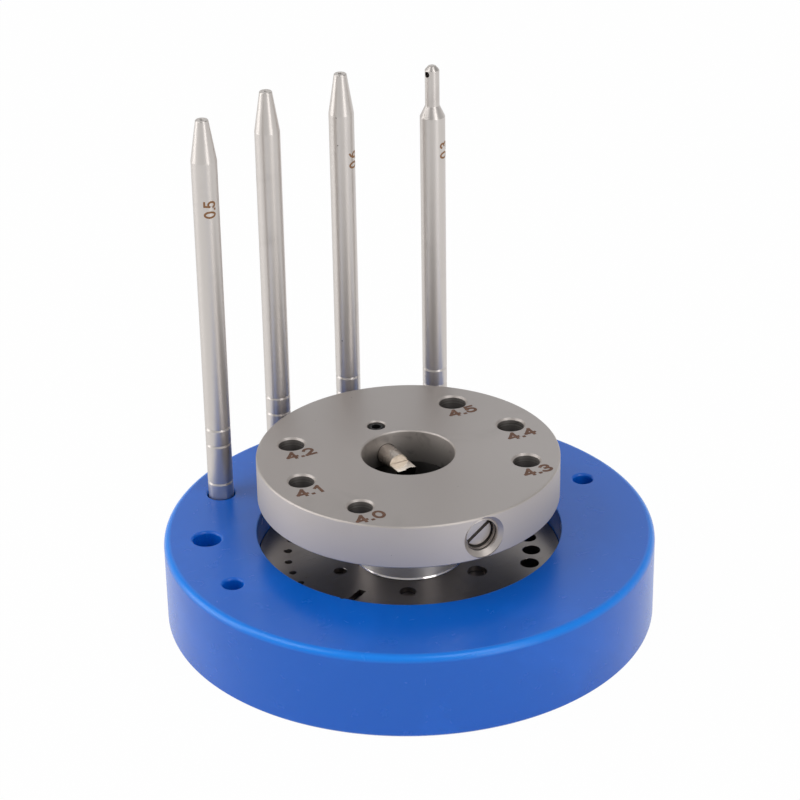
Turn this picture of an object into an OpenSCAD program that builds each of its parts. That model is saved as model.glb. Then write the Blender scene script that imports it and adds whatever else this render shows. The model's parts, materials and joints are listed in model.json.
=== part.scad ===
// Balance holder for watch work, in millimetres, +Z up.
// The origin is the centre of the base's underside. The clamp axis runs along Y: the clamp
// screw is in the -Y side of the disc, and the fixed jaw reaches in from the +Y side.

/* [Base] */
// Diameter of the round base
base_d = 80; // [76:0.5:110]
// Height of the base
base_h = 14.4; // [12:0.1:24]
// Rounding of the base's top edge
base_round = 1.2; // [0.3:0.1:2]
// Chamfer round the base's underside
base_foot_chamfer = 0.4; // [0.2:0.1:1]
// Thickness of the base's floor under the die plate
floor_t = 4.4; // [3.5:0.1:6]
// Diameter of the recess that the die plate lies in
recess_d = 49.6; // [47:0.1:54]

/* [Tool holes] */
// Number of tool holes round the back of the base
tool_count = 8; // [6:1:9]
// Angle from one tool hole to the next
tool_step = 26.5; // [24:0.5:30]
// Angle of the first tool hole
tool_first_angle = -1.3; // [-5:0.1:5]
// Distance from the base's edge to the circle that the tool holes stand on
tool_edge = 7; // [6:0.1:8]
// How many degrees each hole stands off the even steps
tool_turn = [0, 0, 1.5, 1.3, -1.3, -0.4, 0, 0, 0];
// How much further out than the rest each hole stands
tool_out = [0, 0, 0, 0, 0, 0.6, 0, 0, 0];
// Bore of the large tool holes
tool_hole_d = 4.5; // [4.4:0.05:5.5]
// Bore of the small tool hole at each end of the row
small_hole_d = 3.2; // [2:0.1:4]
// Depth of every tool hole
tool_hole_depth = 9.5; // [6:0.5:9.5]
// Soft rounding round the mouth of each tool hole
mouth_round = 0.35; // [0.1:0.05:0.5]

/* [Die plate] */
// Thickness of the die plate
plate_t = 5.1; // [4:0.1:6]
// Radius of the circle of graded die holes
die_circle_r = 20; // [19:0.1:20.5]
// Number of graded die holes
die_count = 23; // [12:1:23]
// Diameter of the smallest graded die hole
die_first_d = 0.8; // [0.4:0.1:1]
// How much each graded die hole is larger than the one before
die_growth = 0.1; // [0.05:0.01:0.1]
// Angle of the smallest graded die hole
die_first_angle = 200; // [196:1:204]
// Angle between the first two graded die holes
die_first_step = 9.8; // [9:0.1:10]
// How much each angle step is wider than the one before
die_step_growth = 0.11; // [0.05:0.01:0.12]
// Radius of the inner circle of dimples
dimple_circle_r = 12.8; // [12:0.1:13.5]
// Number of dimples
dimple_count = 6; // [4:1:6]
// Diameter of the smallest dimple
dimple_first_d = 1; // [0.5:0.1:1.5]
// How much each dimple is larger than the one before
dimple_growth = 0.55; // [0.2:0.05:0.6]
// Angle of the smallest dimple
dimple_first_angle = 60; // [50:1:70]
// Depth of the straight wall of each dimple
dimple_depth = 0.9; // [0.3:0.1:1.5]
// Angle of the index mark cut in the plate
index_angle = 210; // [207:0.5:213]
// Width of the index mark
index_w = 0.9; // [0.4:0.1:1.2]
// Radius at which the index mark starts
index_start_r = 15.3; // [14:0.1:18]
// Depth of the index mark
index_depth = 1; // [0.3:0.1:2]
// Height of the register boss in the middle of the plate
boss_h = 1.5; // [1:0.1:3]

/* [Plate screws] */
// Number of countersunk screws that hold the plate from below
screw_count = 3; // [3:1:3]
// Radius of the circle that the screws stand on
screw_circle_r = 15; // [14:0.1:15.2]
// Thread diameter of these screws
screw_d = 3; // [2:0.5:3]
// Head diameter of these screws
screw_head_d = 5.5; // [5:0.1:5.6]
// Length of these screws, head included
screw_l = 6; // [5.5:0.5:7]

/* [Hub tube] */
// Outer diameter of the hub tube
hub_d = 18.6; // [17.8:0.1:20]
// Bore through the hub tube and the disc
bore_d = 15.1; // [12:0.1:15.3]
// Free height between the plate and the disc
hub_h = 11.1; // [9:0.1:16]
// Diameter of the spigot that the disc turns on
spigot_d = 17; // [16.6:0.1:17.2]
// Height of the spigot
spigot_h = 1.5; // [1:0.1:1.6]
// Chamfer at the tube's foot
hub_chamfer = 0.5; // [0.1:0.1:0.8]

/* [Clamp disc] */
// Diameter of the clamp disc
disc_d = 49; // [46:0.5:54]
// Thickness of the clamp disc
disc_t = 7.3; // [7.1:0.1:9]
// Edge chamfer of the disc
disc_chamfer = 0.2; // [0.1:0.05:0.4]
// Radius of the circle of the six guide holes
guide_circle_r = 19.2; // [18:0.1:19.6]
// Diameter of the smallest guide hole
guide_first_d = 4; // [3:0.1:4.2]
// How much each guide hole is larger than the one before
guide_growth = 0.1; // [0.05:0.05:0.1]
// Angle between neighbouring guide holes on one side of the disc
guide_step = 38.5; // [34:0.5:42]
// Chamfer round each guide hole
guide_chamfer = 0.3; // [0.1:0.05:0.4]
// Diameter of the bevel at the mouth of the clamp screw's hole
rim_bevel_d = 7; // [6:0.1:7]

/* [Jaws] */
// Diameter of both jaw rods
jaw_d = 3.4; // [3:0.1:3.6]
// Length of the half-round blade at each jaw's tip
blade_l = 2.9; // [2:0.1:3.2]
// Height of the blade's flat above the jaw's axis
blade_rise = 0.3; // [0:0.05:0.4]
// Width of the notch in each tip
notch_w = 1.2; // [0.6:0.1:1.4]
// Depth of the notch in each tip
notch_depth = 0.5; // [0.3:0.1:0.8]
// Distance of the fixed jaw's tip from the disc's centre
rear_tip_y = 0.3; // [0.2:0.1:1]
// Open gap from the disc's centre to the moving jaw's tip
front_tip_gap = 2.3; // [1:0.1:2.6]
// Travel of the moving jaw as it closes
jaw_travel = 2.4; // [1:0.1:2.4]
// Travel of the moving jaw as it is drawn back
jaw_drawback = 1.6; // [0.5:0.1:1.6]
// Length of the fixed jaw
rear_jaw_l = 18.7; // [15:0.1:19]
// Travel of the fixed jaw when it is set back
rear_travel = 1; // [0.5:0.1:1.2]

/* [Clamp screw] */
// Thread diameter of the clamp screw
clamp_d = 5.5; // [4:0.5:5.5]
// Length of the clamp screw
clamp_l = 6; // [5:0.5:6.5]
// Depth of the screw's face below the rim
clamp_recess = 2.1; // [1.5:0.1:2.4]
// Width of the screwdriver slot
slot_w = 0.65; // [0.5:0.05:1]
// Depth of the screwdriver slot
slot_depth = 0.9; // [0.5:0.1:1.4]
// Angle of the slot from level
slot_angle = 35; // [0:1:90]

/* [Set screw] */
// Thread diameter of the set screw
set_d = 2.9; // [2.4:0.1:3]
// Distance of the set screw from the disc's centre
set_y = 10.9; // [10.4:0.1:11.2]
// Depth of the set screw's top below the disc's face
set_sink = 0.25; // [0.1:0.05:0.5]
// Width across the flats of its hex socket
set_socket = 1.5; // [1.2:0.1:1.6]

/* [Punches] */
// Shank diameter of the four punches
punch_d = 4.2; // [4:0.05:4.3]
// Overall length of the punches
punch_l = 76; // [60:1:90]
// How much longer each one is, from the first to the fourth
punch_extra_l = [-0.2, -0.2, 0.2, 0.9];
// Height of the upper ring mark above a punch's foot
mark_h = 22; // [16:0.5:30]
// How much higher it is on each one, from the first to the fourth
mark_extra_h = [0.1, -0.5, -0.15, 0.5];
// Hole in the end of the three tapered punches
punch_bores = [0.5, 0.4, 0.6];
// Length of the taper
taper_l = 6.8; // [5:0.1:9]
// Diameter of the taper's flat end
taper_tip_d = 2.1; // [1.6:0.1:2.6]
// Diameter of the nib on the fourth punch
nib_d = 2.4; // [1.8:0.1:2.8]
// Length of the nib
nib_l = 6.8; // [5:0.1:9]
// Length of the cone below the nib
nib_cone_l = 1.9; // [1:0.1:3]
// Diameter of the cross hole through the nib
nib_hole_d = 1; // [0.4:0.1:1.2]

/* [Hidden] */
$fn = 96;

// Clearances
fit = 0.05;
seat_gap = 0.05;
screw_gap = 0.02;
spigot_top_gap = 0.1;
over = 1;

// Heights of the stack
plate_z = floor_t;
plate_top_z = plate_z + plate_t;
disc_z = plate_top_z + hub_h;
disc_top_z = disc_z + disc_t;
axis_z = disc_z + disc_t / 2;

// Tool holes: the first and the last in the row are small
tool_circle_r = base_d / 2 - tool_edge;
tool_last = tool_count - 1;
tool_seat_z = base_h - tool_hole_depth;
first_punch_hole = min(5, tool_last - 1);
punch_hole = [for (i = [0:3]) first_punch_hole - i];
groove_under_dies_w = 3.6;
groove_under_dies_depth = 1.5;

// Plate screws
screw_sink = 0.3;
screw_head_h = (screw_head_d - screw_d) / 2;
screw_first_angle = 30;
screw_edge = 0.3;
screw_hole_spare = 0.4;
screw_socket = 2;
screw_socket_depth = 1.2;

// Clamp axis
end_gap = 0.3;
jaw_r = jaw_d / 2;
clamp_face_y = -disc_d / 2 + clamp_recess;
clamp_nose_y = clamp_face_y + clamp_l;
clamp_thread_end_y = clamp_nose_y + jaw_travel + end_gap;
front_tip_y = -front_tip_gap;
rear_bore_end_y = rear_tip_y + rear_jaw_l + rear_travel + end_gap;
tail_pin_d = 1.6;
tail_pin_l = 1.3;
tail_root = 0.1;
tail_socket_l = tail_pin_l + end_gap;
clamp_edge = 0.35;

// Set screw and the flat that it bears on
flat_depth = 0.4;
flat_z = axis_z + jaw_r - flat_depth;
flat_margin = 0.9;
set_socket_depth = 1.1;
set_tip_edge = 0.3;
set_top_edge = 0.2;

// Key that stops the moving jaw from turning
key_d = 1.2;
key_y = -10.4;
key_rise = 0.6;
key_slot_w = key_d + 2 * fit;
key_slot_margin = 0.25;
key_top_gap = 0.1;
key_foot_gap = 0.3;

// Ring marks on the punches, as steps below the upper one
mark_steps = [0, 3, 10.05];
mark_w = 0.32;
mark_depth = 0.14;
punch_foot_chamfer = 0.3;
tip_edge = 0.1;
tip_hole_depth = 3;
tip_sink_depth = 0.1;
nib_nose_l = 0.7;
nib_nose_d = 1.2;
nib_nose_edge = 0.15;
nib_hole_margin = 0.1;
nib_hole_drop = nib_nose_l + nib_hole_d / 2 + nib_hole_margin;
nib_hole_past_axis = 0.35;
nib_hole_angle = -165;

// Angle of tool hole i on the base, and its distance from the middle
function tool_angle(i) = tool_first_angle + i * tool_step + tool_turn[i];
function tool_r(i) = tool_circle_r + tool_out[i];

// Angle and diameter of graded die hole k
function die_angle(k) = die_first_angle - k * die_first_step - die_step_growth * k * (k - 1) / 2;
function die_d(k) = die_first_d + k * die_growth;

// Points of an arc from angle a0 to a1
function arc(cx, cy, r, a0, a1, n = 6) =
    [for (i = [0:n]) let (a = a0 + (a1 - a0) * i / n) [cx + r * cos(a), cy + r * sin(a)]];

// Moves the children out to radius r at an angle
module at_polar(r, angle) {
    rotate([0, 0, angle])
        translate([r, 0, 0])
            children();
}

// Cylinder along +Y from y0 to y1 on the clamp axis
module along_y(d, y0, y1) {
    translate([0, y0, axis_z])
        rotate([-90, 0, 0])
            cylinder(d = d, h = y1 - y0);
}

// Blind hole with a softly rounded mouth; its mouth is at z = 0
module soft_hole(d, depth) {
    r = d / 2;
    m = mouth_round;
    rotate_extrude()
        polygon(concat(
            [[0, -depth], [r, -depth]],
            arc(r + m, -m, m, 180, 90),
            [[r + m, over], [0, over]]));
}

// Straight hole through a plate from z0 to z1, chamfered at both faces
module chamfered_hole(d, z0, z1, c) {
    r = d / 2;
    rotate_extrude()
        polygon([[0, z0 - over], [r + c + over, z0 - over], [r, z0 + c],
                 [r, z1 - c], [r + c + over, z1 + over], [0, z1 + over]]);
}

module base() {
    color([0.10, 0.33, 0.72])
        difference() {
            rotate_extrude()
                polygon(concat(
                    [[0, 0], [base_d / 2 - base_foot_chamfer, 0], [base_d / 2, base_foot_chamfer]],
                    arc(base_d / 2 - base_round, base_h - base_round, base_round, 0, 90),
                    [[0, base_h]]));
            translate([0, 0, floor_t])
                cylinder(d = recess_d, h = base_h);
            die_relief();
            for (i = [0:tool_last])
                at_polar(tool_r(i), tool_angle(i))
                    translate([0, 0, base_h])
                        soft_hole(i == 0 || i == tool_last ? small_hole_d : tool_hole_d,
                                  tool_hole_depth);
            for (i = [0:screw_count - 1])
                at_polar(screw_circle_r, screw_first_angle + i * 360 / screw_count)
                    plate_screw_hole();
        }
}

// Ring groove in the floor that leaves the graded die holes free underneath
module die_relief() {
    r = die_circle_r;
    w = groove_under_dies_w;
    translate([0, 0, floor_t - groove_under_dies_depth])
        difference() {
            cylinder(r = r + w / 2, h = groove_under_dies_depth + over);
            translate([0, 0, -over])
                cylinder(r = r - w / 2, h = groove_under_dies_depth + 3 * over);
        }
}

// Clearance hole and countersink for one plate screw
module plate_screw_hole() {
    r = screw_d / 2 + fit;
    head_r = screw_head_d / 2 + fit;
    rotate_extrude()
        polygon([[0, -over], [head_r, -over], [head_r, screw_sink],
                 [r, screw_sink + screw_head_h], [r, floor_t + over], [0, floor_t + over]]);
}

module die_plate() {
    color([0.55, 0.55, 0.56])
        difference() {
            union() {
                translate([0, 0, plate_z])
                    cylinder(d = recess_d - 2 * seat_gap, h = plate_t);
                translate([0, 0, plate_top_z])
                    cylinder(d = bore_d - 2 * fit, h = boss_h);
            }
            for (k = [0:die_count - 1])
                at_polar(die_circle_r, die_angle(k))
                    translate([0, 0, plate_z - over])
                        cylinder(d = die_d(k), h = plate_t + 2 * over, $fn = 32);
            for (k = [0:dimple_count - 1])
                at_polar(dimple_circle_r, dimple_first_angle + k * 360 / dimple_count)
                    dimple(dimple_first_d + k * dimple_growth);
            for (i = [0:screw_count - 1])
                at_polar(screw_circle_r, screw_first_angle + i * 360 / screw_count)
                    translate([0, 0, plate_z - over])
                        cylinder(d = screw_d + 2 * screw_gap,
                                 h = screw_l + screw_sink - floor_t + screw_hole_spare + over,
                                 $fn = 32);
            rotate([0, 0, index_angle])
                translate([index_start_r, -index_w / 2, plate_top_z - index_depth])
                    cube([recess_d, index_w, index_depth + over]);
        }
}

// Blind dimple with a drilled cone at its bottom
module dimple(d) {
    r = d / 2;
    cone_h = r / tan(59);
    translate([0, 0, plate_top_z])
        rotate_extrude($fn = 32)
            polygon([[0, over], [r, over], [r, -dimple_depth], [0, -dimple_depth - cone_h]]);
}

module plate_screws() {
    color([0.75, 0.75, 0.77])
        for (i = [0:screw_count - 1])
            at_polar(screw_circle_r, screw_first_angle + i * 360 / screw_count)
                translate([0, 0, screw_sink])
                    plate_screw();
}

// Countersunk screw with a hex socket, head down
module plate_screw() {
    difference() {
        rotate_extrude($fn = 48)
            polygon([[0, 0], [screw_head_d / 2, 0], [screw_d / 2, screw_head_h],
                     [screw_d / 2, screw_l - screw_edge],
                     [screw_d / 2 - screw_edge, screw_l], [0, screw_l]]);
        translate([0, 0, -over])
            cylinder(d = screw_socket / cos(30), h = screw_socket_depth + over, $fn = 6);
    }
}

module hub_tube() {
    r = hub_d / 2;
    inner = bore_d / 2;
    c = hub_chamfer;
    color([0.68, 0.67, 0.66])
        rotate_extrude()
            polygon([[inner, plate_top_z], [r - c, plate_top_z], [r, plate_top_z + c], [r, disc_z],
                     [spigot_d / 2, disc_z], [spigot_d / 2, disc_z + spigot_h],
                     [inner, disc_z + spigot_h]]);
}

module clamp_disc() {
    r = disc_d / 2;
    c = disc_chamfer;
    color([0.62, 0.61, 0.60])
        difference() {
            rotate_extrude()
                polygon([[0, disc_z], [r - c, disc_z], [r, disc_z + c], [r, disc_top_z - c],
                         [r - c, disc_top_z], [0, disc_top_z]]);
            chamfered_hole(bore_d, disc_z, disc_top_z, disc_chamfer);
            translate([0, 0, disc_z - over])
                cylinder(d = spigot_d + 2 * fit, h = spigot_h + spigot_top_gap + over);
            for (side = [0, 1])
                for (i = [-1:1])
                    at_polar(guide_circle_r, side * 180 + i * guide_step)
                        chamfered_hole(guide_d(side, i), disc_z, disc_top_z, guide_chamfer);
            clamp_bore();
            along_y(jaw_d + 2 * fit, 0, rear_bore_end_y);
            translate([0, set_y, axis_z])
                cylinder(d = set_d + 2 * fit, h = disc_t, $fn = 48);
            translate([0, set_y, disc_top_z - disc_chamfer])
                cylinder(d1 = set_d + 2 * fit, d2 = set_d + 2 * fit + 4 * disc_chamfer,
                         h = 2 * disc_chamfer, $fn = 48);
            translate([0, key_y, disc_z - over])
                cylinder(d = key_d + 2 * screw_gap, h = disc_t / 2, $fn = 32);
        }
}

// Guide holes run from the smallest, front left, to the largest, back right
function guide_d(side, i) = guide_first_d + guide_growth * (side == 1 ? 1 - i : 4 + i);

// Hole for the clamp screw and the moving jaw, drilled in from the -Y side of the rim
module clamp_bore() {
    rim_y = -disc_d / 2;
    bore_r = clamp_d / 2 + fit;
    bevel = rim_bevel_d / 2 - bore_r;
    rim_sag = disc_d / 2 - sqrt(pow(disc_d / 2, 2) - pow(rim_bevel_d / 2, 2));
    along_y(clamp_d + 2 * fit, rim_y - over, clamp_thread_end_y);
    along_y(jaw_d + 2 * fit, clamp_thread_end_y - over, 0);
    translate([0, rim_y + rim_sag - over, axis_z])
        rotate([-90, 0, 0])
            cylinder(r1 = rim_bevel_d / 2 + over, r2 = bore_r, h = bevel + over);
}

// Jaw rod with its half-round, notched blade; the tip is at y = 0 and points along -Y
module jaw_rod(l) {
    difference() {
        rotate([-90, 0, 0])
            cylinder(r = jaw_r, h = l);
        translate([-jaw_d, -over, blade_rise])
            cube([2 * jaw_d, blade_l + over, jaw_d]);
        translate([0, 0, -jaw_d])
            linear_extrude(2 * jaw_d)
                polygon([[-notch_w / 2, -over], [-notch_w / 2, notch_depth / 2],
                         [0, notch_depth], [notch_w / 2, notch_depth / 2], [notch_w / 2, -over]]);
    }
}

module rear_jaw() {
    color([0.80, 0.76, 0.70])
        difference() {
            translate([0, rear_tip_y, axis_z])
                jaw_rod(rear_jaw_l);
            translate([-jaw_d, set_y - set_d / 2 - rear_travel - flat_margin, flat_z])
                cube([2 * jaw_d, set_d + rear_travel + 2 * flat_margin, jaw_d]);
        }
}

module front_jaw() {
    l = front_tip_y - clamp_nose_y;
    color([0.80, 0.76, 0.70])
        difference() {
            union() {
                translate([0, front_tip_y, axis_z])
                    mirror([0, 1, 0])
                        jaw_rod(l);
                along_y(tail_pin_d, clamp_nose_y - tail_pin_l, clamp_nose_y + tail_root);
            }
            translate([-key_slot_w / 2, key_y - key_d / 2 - jaw_travel - key_slot_margin,
                       axis_z - jaw_d])
                cube([key_slot_w, key_d + jaw_travel + jaw_drawback + 2 * key_slot_margin,
                      jaw_d - jaw_r + key_rise + key_top_gap]);
        }
}

module jaw_key() {
    foot = disc_z + key_foot_gap;
    color([0.75, 0.75, 0.77])
        translate([0, key_y, foot])
            cylinder(d = key_d, h = axis_z - jaw_r + key_rise - foot, $fn = 32);
}

module clamp_screw() {
    r = clamp_d / 2;
    e = clamp_edge;
    color([0.70, 0.69, 0.70])
        translate([0, clamp_face_y, axis_z])
            rotate([-90, 0, 0])
                difference() {
                    rotate_extrude()
                        polygon([[0, 0], [r - e, 0], [r, e], [r, clamp_l - e], [r - e, clamp_l],
                                 [0, clamp_l]]);
                    rotate([0, 0, -slot_angle])
                        translate([-clamp_d, -slot_w / 2, -over])
                            cube([2 * clamp_d, slot_w, slot_depth + over]);
                    translate([0, 0, clamp_l - tail_socket_l])
                        cylinder(d = tail_pin_d + 2 * fit, h = tail_socket_l + over, $fn = 48);
                }
}

module set_screw() {
    l = disc_top_z - set_sink - flat_z - screw_gap;
    r = set_d / 2;
    color([0.08, 0.08, 0.09])
        translate([0, set_y, flat_z + screw_gap])
            difference() {
                rotate_extrude($fn = 48)
                    polygon([[0, 0], [r - set_tip_edge, 0], [r, set_tip_edge],
                             [r, l - set_top_edge], [r - set_top_edge, l], [0, l]]);
                translate([0, 0, l - set_socket_depth])
                    cylinder(d = set_socket / cos(30), h = set_socket_depth + over, $fn = 6);
            }
}

// Outline points of the ring marks on a punch, from the lowest up
function mark_points(top) =
    [for (i = [len(mark_steps) - 1:-1:0]) let (z = top - mark_steps[i], r = punch_d / 2)
        each [[r, z - mark_w / 2], [r - mark_depth, z - mark_w / 4],
              [r - mark_depth, z + mark_w / 4], [r, z + mark_w / 2]]];

// Outline of the shank of punch number i up to height z1, foot at z = 0
function shank_points(i, z1) = concat(
    [[0, 0], [punch_d / 2 - punch_foot_chamfer, 0], [punch_d / 2, punch_foot_chamfer]],
    mark_points(mark_h + mark_extra_h[i]),
    [[punch_d / 2, z1]]);

// Punch number i, with a long taper and a small hole in its end
module tapered_punch(i) {
    l = punch_l + punch_extra_l[i];
    bore = punch_bores[i];
    tip_r = taper_tip_d / 2;
    sink_h = tip_sink_depth + tip_edge;
    difference() {
        rotate_extrude($fn = 64)
            polygon(concat(shank_points(i, l - taper_l),
                [[tip_r, l - tip_edge], [tip_r - tip_edge, l], [0, l]]));
        translate([0, 0, l - tip_hole_depth])
            cylinder(d = bore, h = tip_hole_depth + over, $fn = 24);
        translate([0, 0, l - tip_sink_depth])
            cylinder(d1 = bore, d2 = bore + 2 * sink_h, h = sink_h, $fn = 24);
    }
}

// Punch number i, with a slim nib and a cross hole near its rounded end
module nib_punch(i) {
    l = punch_l + punch_extra_l[i];
    r = nib_d / 2;
    nose_r = nib_nose_d / 2;
    difference() {
        rotate_extrude($fn = 64)
            polygon(concat(shank_points(i, l - nib_l - nib_cone_l),
                [[r, l - nib_l], [r, l - nib_nose_l], [nose_r + nib_nose_edge, l - nib_nose_edge],
                 [nose_r - nib_nose_edge, l], [0, l]]));
        translate([0, 0, l - nib_hole_drop])
            rotate([0, 90, nib_hole_angle])
                translate([0, 0, -nib_hole_past_axis])
                    cylinder(d = nib_hole_d, h = nib_d, $fn = 24);
    }
}

// Stands the children in the tool hole of punch number i
module in_tool_hole(i) {
    at_polar(tool_r(punch_hole[i]), tool_angle(punch_hole[i]))
        translate([0, 0, tool_seat_z])
            rotate([0, 0, -tool_angle(punch_hole[i])])
                children();
}

module punch_1() {
    color([0.78, 0.77, 0.76])
        in_tool_hole(0)
            tapered_punch(0);
}

module punch_2() {
    color([0.78, 0.77, 0.76])
        in_tool_hole(1)
            tapered_punch(1);
}

module punch_3() {
    color([0.78, 0.77, 0.76])
        in_tool_hole(2)
            tapered_punch(2);
}

module punch_4() {
    color([0.78, 0.77, 0.76])
        in_tool_hole(3)
            nib_punch(3);
}

base();
die_plate();
plate_screws();
hub_tube();
clamp_disc();
rear_jaw();
front_jaw();
jaw_key();
clamp_screw();
set_screw();
punch_1();
punch_2();
punch_3();
punch_4();
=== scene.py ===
"""Looks of a watchmaker's balance holder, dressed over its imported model.

Pieces are made in millimetres in the model's own frame: +Z up, the origin in the middle of the
base's underside, the clamp axis along Y. finish_piece() brings each one to metres.
"""
import json
from math import atan2, cos, hypot, pi, radians, remainder, sin, sqrt, tan

import bmesh
import bpy
from mathutils import Matrix, Vector


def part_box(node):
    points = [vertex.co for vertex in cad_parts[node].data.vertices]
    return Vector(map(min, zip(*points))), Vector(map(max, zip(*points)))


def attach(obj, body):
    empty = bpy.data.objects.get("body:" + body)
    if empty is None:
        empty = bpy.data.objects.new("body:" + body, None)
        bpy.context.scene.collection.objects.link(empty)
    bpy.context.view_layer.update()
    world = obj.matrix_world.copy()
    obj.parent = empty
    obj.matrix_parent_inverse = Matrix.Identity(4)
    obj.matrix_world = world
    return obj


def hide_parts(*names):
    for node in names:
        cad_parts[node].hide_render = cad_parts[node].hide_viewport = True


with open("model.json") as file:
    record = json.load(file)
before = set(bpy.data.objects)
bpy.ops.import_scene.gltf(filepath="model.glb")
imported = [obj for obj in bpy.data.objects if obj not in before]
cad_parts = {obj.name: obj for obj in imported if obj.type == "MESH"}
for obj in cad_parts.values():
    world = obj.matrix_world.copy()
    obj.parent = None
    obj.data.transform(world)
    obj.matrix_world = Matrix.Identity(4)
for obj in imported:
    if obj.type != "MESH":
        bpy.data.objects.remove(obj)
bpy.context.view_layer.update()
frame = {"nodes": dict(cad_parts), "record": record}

MM = 0.001
CUT_PAST = 1.0

# Fineness of the meshes
AROUND_LARGE = 256
AROUND_SMALL = 96
AROUND_HOLE = 64
FILLET_STEPS = 6
SHARP_ANGLE = 32
WELD = 0.0005
MITRE_LIMIT = 0.6

# Camera, as the photograph was taken
VIEW_TURN = -28.4
VIEW_RISE = 31.206
VIEW_DISTANCE = 419.2
VIEW_AIM_UP = 36.9
VIEW_LIFT = 0.4
VIEW_AIM_LEFT = 1.16
VIEW_ROLL = -0.924
LENS = 113.38
SENSOR = 36

# Base
FOOT_CHAMFER = 0.4
BASE_ROUND = 1.2
MOUTH_ROUND = 0.5
RECESS_EDGE = 0.25
GROOVE_W = 3.6
GROOVE_DEPTH = 1.5
TOOL_STEP = 26.5
TOOL_FIRST_ANGLE = -1.3
TOOL_TURNS = (0, 0, 1.5, 1.3, -1.3, -0.4, 0, 0)
TOOL_OUTS = (0, 0, 0, 0, 0, 0.6, 0, 0)
TOOL_EDGE = 7
TOOL_HOLE_D = 4.5
SMALL_HOLE_D = 3.2
TOOL_HOLE_DEPTH = 9.5
NICK_ANGLE = 216.5
NICK_SIZE = 0.45

# Die plate
BOSS_H = 1.5
PLATE_EDGE = 0.12
DIE_CIRCLE_R = 20
DIE_RING = {"Count": 23, "Ring_Radius": DIE_CIRCLE_R, "First_Angle": 200, "Step": -9.8,
            "Step_Growth": -0.11, "First_Size": 0.8, "Size_Growth": 0.1}
DIMPLE_RING = {"Count": 6, "Ring_Radius": 12.8, "First_Angle": 60, "Step": 60, "First_Size": 1,
               "Size_Growth": 0.55}
DIMPLE_DEPTH = 0.9
DIMPLE_POINT = 0.3
HOLE_EDGE = 0.05
HOLE_EDGE_SHARE = 0.02
INDEX_ANGLE = 210
INDEX_W = 1.25
INDEX_START_R = 14.4
INDEX_DEPTH = 1

# Plate screws
SCREW_RING = {"Count": 3, "Ring_Radius": 15, "First_Angle": 30, "Step": 120}
SCREW_D = 3
SCREW_HEAD_D = 5.5
SCREW_SINK = 0.3
SCREW_HOLE_DEPTH = 2.3
SCREW_PLAY = 0.02

# Hub tube and clamp disc
FIT = 0.05
BORE_D = 15.1
HUB_FOOT_H = 0.28
HUB_FOOT_OUT = 0.17
SPIGOT_D = 17
SPIGOT_H = 1.5
SPIGOT_TOP_GAP = 0.1
DISC_CHAMFER = 0.2
GUIDE_CHAMFER = 0.3
RIM_BEVEL_D = 7
KEY_D = 1.24
KEY_Y = -10.4
KEY_TOP_DROP = 1

# Jaws
JAW_D = 3.4
BLADE_L = 2.9
BLADE_RISE = 0.3
BLADE_UNDERCUT = 0.1
BLADE_REACH = 3.22
NOTCH = ((-0.25, -1), (-0.22, 0.18), (-0.05, 0.22), (0, 0.42), (0.3, 0.38), (0.45, 0.55), (0.75, 0.42),
         (0.95, 0.5), (1.15, 0.3), (2, 0.25), (2, -1))
DARK_TIP_REACH = 0.85
DARK_TIP_DROP = 0.05
REAR_BORE_END_Y = 20.3
SET_Y = 10.9
SET_D = 2.9
FLAT_DEPTH = 0.4
FLAT_LENGTH = 5.7
FLAT_START_Y = 7.55
TAIL_D = 1.6
TAIL_L = 1.3
TAIL_OVERLAP = 0.1
TAIL_SOCKET_L = 1.6
KEY_SLOT_W = 1.3
KEY_SLOT_Y = (-13.65, -7.95)
KEY_SLOT_TOP = 0.7

# Threads: the clamp screw's, and the set screw's
CLAMP_PITCH = 0.8
CLAMP_TOOTH = 0.3
CLAMP_CORE_R = 2.05
CLAMP_COLLAR_R = 2.38
CLAMP_COLLAR_L = 0.5
CLAMP_EDGE = 0.15
CLAMP_NECK_L = 0.2
CLAMP_THREAD_GAP = 0.3
CLAMP_THREAD_END = 0.5
CLAMP_BORE_PAST = 2.7
RIM_THREAD_R = 2.75
RIM_THREAD_TOOTH = 0.33
RIM_THREAD_START = 0.8
RIM_THREAD_PAST = 2.4
RIM_THREAD_ANGLE = 60
SLOT_W = 0.62
SLOT_DEPTH = 0.9
SLOT_ANGLE = 35
SET_PITCH = 0.5
SET_TOOTH = 0.19
SET_CORE_R = 1.24
SET_SOCKET = 1.5
SET_SOCKET_DEPTH = 1.1
SET_EDGE = 0.2
SET_THREAD_GAP = 0.3
SET_TOP_GAP = 0.25

# Punches
PUNCH_D = 4.2
PUNCH_FOOT_CHAMFER = 0.3
MARK_HEIGHTS = (22.1, 21.5, 21.85, 22.5)
MARK_STEPS = (10.05, 3, 0)
MARK_W = 0.44
MARK_DEPTH = 0.12
TAPER_L = 6.8
TAPER_TIP_D = 2.1
TIP_EDGE = 0.1
TIP_BORES = (0.5, 0.4, 0.6)
TIP_HOLE_DEPTH = 3
TIP_SINK_DEPTH = 0.1
NIB_D = 2.4
NIB_L = 6.8
NIB_CONE_L = 1.9
NIB_NOSE_L = 0.7
NIB_NOSE_D = 1.2
NIB_HOLE_D = 1
NIB_HOLE_DROP = 1.3
NIB_HOLE_ANGLE = -165
NIB_HOLE_PAST_AXIS = 0.35

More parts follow.
